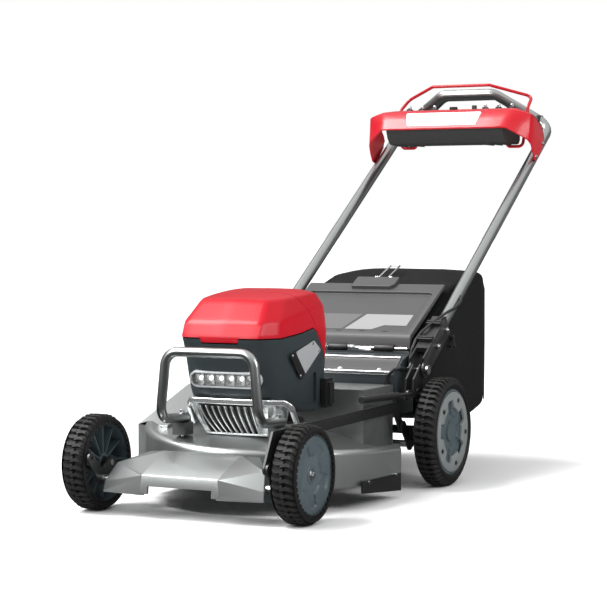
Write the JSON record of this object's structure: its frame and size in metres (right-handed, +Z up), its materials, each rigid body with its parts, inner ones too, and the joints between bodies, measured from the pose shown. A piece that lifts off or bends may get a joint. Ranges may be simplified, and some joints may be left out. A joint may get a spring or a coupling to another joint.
{
  "type": "lawn mower",
  "caption": "Cordless walk-behind rotary lawn mower with a cast deck, rear grass catcher, bull bar, headlight and folding loop handle with a bail.",
  "frame": {"origin": "centre of the footprint's bounding box, on the ground", "axes": "+Y from the nose to the operator, +Z up, +X towards the side with the height lever"},
  "size_m": [0.601, 1.6744, 0.9836],
  "materials": {
    "cast_silver": "satin lacquered casting",
    "bright_metal": "zinc plated",
    "tube_silver": "satin anodised tube",
    "red_plastic": "semi-gloss moulded plastic",
    "red_metal": "gloss powder coat",
    "slate_plastic": "fine-grained moulded plastic",
    "black_plastic": "moulded plastic",
    "grey_plastic": "moulded plastic",
    "black_steel": "black powder coat",
    "blade_steel": "oiled spring steel",
    "tyre_rubber": "moulded tread",
    "wheel_slate": "moulded plastic",
    "wheel_silver": "painted plastic",
    "lens": "clear polycarbonate",
    "circuit": "coated board",
    "button_dark": "moulded button",
    "bag_fabric": "coated woven polyester",
    "cable_rubber": "cable sheath"
  },
  "bodies": {
    "chassis": {"deck": "cast_silver", "deck_trim": "black_plastic", "front_apron": "cast_silver", "bull_bar": "tube_silver", "bull_bar_clamps": "grey_plastic", "motor_cowl": "cast_silver", "body_housing": "slate_plastic", "top_cover": "red_plastic", "headlight": "lens", "cable_block": "black_plastic", "battery_bay": "black_plastic", "controller": "circuit", "motor": "black_steel", "rear_bulkhead": "slate_plastic", "flap_hinge_rod": "bright_metal", "handle_lugs": "black_steel", "fold_bolts": "bright_metal", "chassis_screws": "bright_metal", "harness": "cable_rubber"},
    "cutter": {"blade": "blade_steel", "spindle": "bright_metal", "blade_bolt": "bright_metal"},
    "front_carriage": {"front_axle": "bright_metal", "front_cranks": "black_steel"},
    "rear_carriage": {"rear_axle": "bright_metal", "rear_cranks": "black_steel", "drive_unit": "black_plastic"},
    "front_wheel_left": {"front_tyre_left": "tyre_rubber", "front_rim_left": "wheel_slate", "front_disc_left": "wheel_slate"},
    "front_wheel_right": {"front_tyre_right": "tyre_rubber", "front_rim_right": "wheel_slate", "front_disc_right": "wheel_slate"},
    "rear_wheel_left": {"rear_tyre_left": "tyre_rubber", "rear_rim_left": "wheel_slate", "rear_ring_left": "wheel_silver"},
    "rear_wheel_right": {"rear_tyre_right": "tyre_rubber", "rear_rim_right": "wheel_slate", "rear_ring_right": "wheel_silver"},
    "height_link": {"height_link": "black_steel"},
    "height_lever": {"height_lever": "black_steel", "lever_grip": "black_plastic"},
    "handle": {"handle_tube": "tube_silver", "handle_feet": "black_steel", "console_plate": "red_metal", "console_box": "black_plastic", "handle_screws": "bright_metal", "handle_cable": "cable_rubber"},
    "knob_left": {"knob_left": "black_plastic"},
    "knob_right": {"knob_right": "black_plastic"},
    "bail": {"bail": "red_metal"},
    "drive_lever": {"drive_lever": "tube_silver"},
    "start_button": {"start_button": "button_dark"},
    "speed_slider": {"speed_slider": "black_plastic"},
    "rear_flap": {"rear_flap": "grey_plastic"},
    "catcher": {"grass_bag": "bag_fabric", "catcher_frame": "black_plastic"},
    "carry_handle": {"carry_handle": "bright_metal"},
    "battery_lid": {"battery_lid": "red_plastic"},
    "battery_pack": {"battery_pack": "black_plastic"}
  },
  "joints": [
    {"name": "blade_spin", "type": "hinge", "parent": "chassis", "child": "cutter", "pos_m": [0, -0.43588, 0.062], "axis": [0, 0, 1], "continuous": true},
    {"name": "height_adjust", "type": "hinge", "parent": "chassis", "child": "rear_carriage", "pos_m": [0, -0.10787, 0.098], "axis": [1, 0, 0], "range_deg": [-26, 26]},
    {"name": "front_lift", "type": "hinge", "parent": "chassis", "child": "front_carriage", "pos_m": [0, -0.77787, 0.074], "axis": [1, 0, 0], "range_deg": [-26, 26]},
    {"name": "link_swing", "type": "hinge", "parent": "front_carriage", "child": "height_link", "pos_m": [0, -0.81588, 0.119], "axis": [1, 0, 0], "range_deg": [-26, 26]},
    {"name": "lever_swing", "type": "hinge", "parent": "chassis", "child": "height_lever", "pos_m": [0.234, -0.11787, 0.214], "axis": [1, 0, 0], "range_deg": [-13, 13]},
    {"name": "front_wheel_left_spin", "type": "hinge", "parent": "front_carriage", "child": "front_wheel_left", "pos_m": [-0.244, -0.73587, 0.102], "axis": [1, 0, 0], "continuous": true},
    {"name": "front_wheel_right_spin", "type": "hinge", "parent": "front_carriage", "child": "front_wheel_right", "pos_m": [0.244, -0.73587, 0.102], "axis": [1, 0, 0], "continuous": true},
    {"name": "rear_wheel_left_spin", "type": "hinge", "parent": "rear_carriage", "child": "rear_wheel_left", "pos_m": [-0.273, -0.06588, 0.126], "axis": [1, 0, 0], "continuous": true},
    {"name": "rear_wheel_right_spin", "type": "hinge", "parent": "rear_carriage", "child": "rear_wheel_right", "pos_m": [0.273, -0.06588, 0.126], "axis": [1, 0, 0], "continuous": true},
    {"name": "handle_fold", "type": "hinge", "parent": "chassis", "child": "handle", "pos_m": [0, -0.07787, 0.268], "axis": [1, 0, 0], "range_deg": [0, 110]},
    {"name": "knob_left_turn", "type": "hinge", "parent": "handle", "child": "knob_left", "pos_m": [-0.24, 0.06317, 0.32327], "axis": [1, 0, 0], "continuous": true},
    {"name": "knob_right_turn", "type": "hinge", "parent": "handle", "child": "knob_right", "pos_m": [0.24, 0.06317, 0.32327], "axis": [1, 0, 0], "continuous": true},
    {"name": "bail_squeeze", "type": "hinge", "parent": "handle", "child": "bail", "pos_m": [0, 0.73237, 0.8133], "axis": [1, 0, 0], "range_deg": [-15, 0], "stiffness_Nm_per_rad": 1.5, "springref_deg": 14.32},
    {"name": "drive_squeeze", "type": "hinge", "parent": "handle", "child": "drive_lever", "pos_m": [0, 0.82937, 0.8763], "axis": [1, 0, 0], "range_deg": [0, 5], "stiffness_Nm_per_rad": 1.5, "springref_deg": -8.59},
    {"name": "start_press", "type": "slide", "parent": "handle", "child": "start_button", "axis": [0, 0, -1], "range_m": [0, 0.003], "stiffness_N_per_m": 400, "springref_m": -0.002},
    {"name": "speed_slide", "type": "slide", "parent": "handle", "child": "speed_slider", "axis": [1, 0, 0], "range_m": [-0.014, 0.014]},
    {"name": "flap_open", "type": "hinge", "parent": "chassis", "child": "rear_flap", "pos_m": [0, -0.05187, 0.313], "axis": [1, 0, 0], "range_deg": [0, 70], "stiffness_Nm_per_rad": 0.4, "springref_deg": -17.19},
    {"name": "catcher_draw", "type": "slide", "parent": "chassis", "child": "catcher", "axis": [0, 1, 0], "range_m": [0, 0.35]},
    {"name": "carry_swing", "type": "hinge", "parent": "catcher", "child": "carry_handle", "pos_m": [0, 0.21313, 0.472], "axis": [1, 0, 0], "range_deg": [0, 90]},
    {"name": "lid_open", "type": "hinge", "parent": "chassis", "child": "battery_lid", "pos_m": [0, -0.50587, 0.462], "axis": [1, 0, 0], "range_deg": [0, 75]},
    {"name": "battery_lift", "type": "slide", "parent": "chassis", "child": "battery_pack", "axis": [0, 0.8192, 0.5736], "range_m": [0, 0.09]}
  ],
  "couplings": [
    {"joint": "front_lift", "follows": "height_adjust", "ratio": 1},
    {"joint": "link_swing", "follows": "height_adjust", "ratio": -1},
    {"joint": "lever_swing", "follows": "height_adjust", "ratio": 0.5},
    {"joint": "battery_lift", "follows": "lid_open", "m_per_rad": 0.068}
  ]
}
